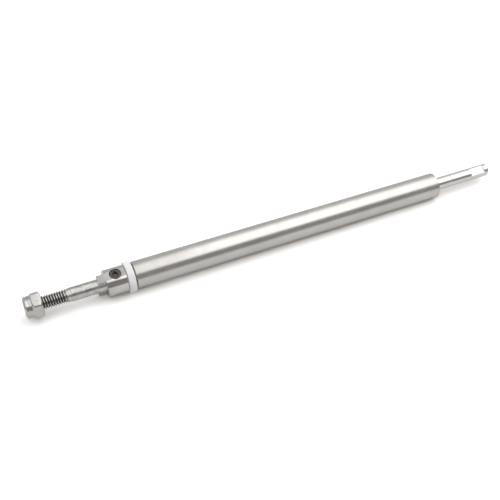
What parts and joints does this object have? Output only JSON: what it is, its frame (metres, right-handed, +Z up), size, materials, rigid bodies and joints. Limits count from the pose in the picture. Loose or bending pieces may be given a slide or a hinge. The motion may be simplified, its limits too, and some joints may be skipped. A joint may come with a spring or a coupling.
{
  "type": "propeller drive shaft",
  "caption": "Propeller drive shaft in a steel support tube, with a tanged drive dog, thrust washer and self-locking nut.",
  "frame": {"origin": "middle of the whole assembly, on the shaft's axis", "axes": "+X along the shaft from the propeller end to the motor end, +Z up as the assembly lies on a table"},
  "size_m": [0.1516, 0.009, 0.009],
  "materials": {
    "brushed_tube": "fine circumferential brushing",
    "ground_shaft": "bright ground bar, slightly stained near the thread",
    "turned_dog": "bright turned steel",
    "plated_nut": "bright plated steel",
    "black_screw": "black oxide",
    "white_washer": "white fluoropolymer, satin",
    "nylon_insert": "translucent white nylon",
    "bronze_bearing": "oiled sintered bronze",
    "rubber_seal": "black nitrile"
  },
  "bodies": {
    "tube": {"support_tube": "brushed_tube", "front_bearing": "bronze_bearing", "rear_bearing": "bronze_bearing", "shaft_seal": "rubber_seal"},
    "washer": {"thrust_washer": "white_washer"},
    "shaft": {"drive_shaft": "ground_shaft", "drive_dog": "turned_dog", "dog_set_screw": "black_screw"},
    "insert": {"lock_nut_insert": "nylon_insert"},
    "nut": {"lock_nut": "plated_nut"}
  },
  "joints": [
    {"name": "shaft_slide", "type": "slide", "parent": "tube", "child": "washer", "axis": [-1, 0, 0], "range_m": [0, 0.108]},
    {"name": "shaft_spin", "type": "hinge", "parent": "washer", "child": "shaft", "pos_m": [0, 0, 0], "axis": [1, 0, 0], "continuous": true},
    {"name": "nut_travel", "type": "slide", "parent": "shaft", "child": "insert", "axis": [1, 0, 0], "range_m": [-0.0042, 0.007]},
    {"name": "nut_turn", "type": "hinge", "parent": "insert", "child": "nut", "pos_m": [-0.0734, 0, 0], "axis": [1, 0, 0], "range_deg": [-2170, 3610]}
  ],
  "couplings": [
    {"joint": "nut_turn", "follows": "nut_travel", "rad_per_m": 8976}
  ]
}
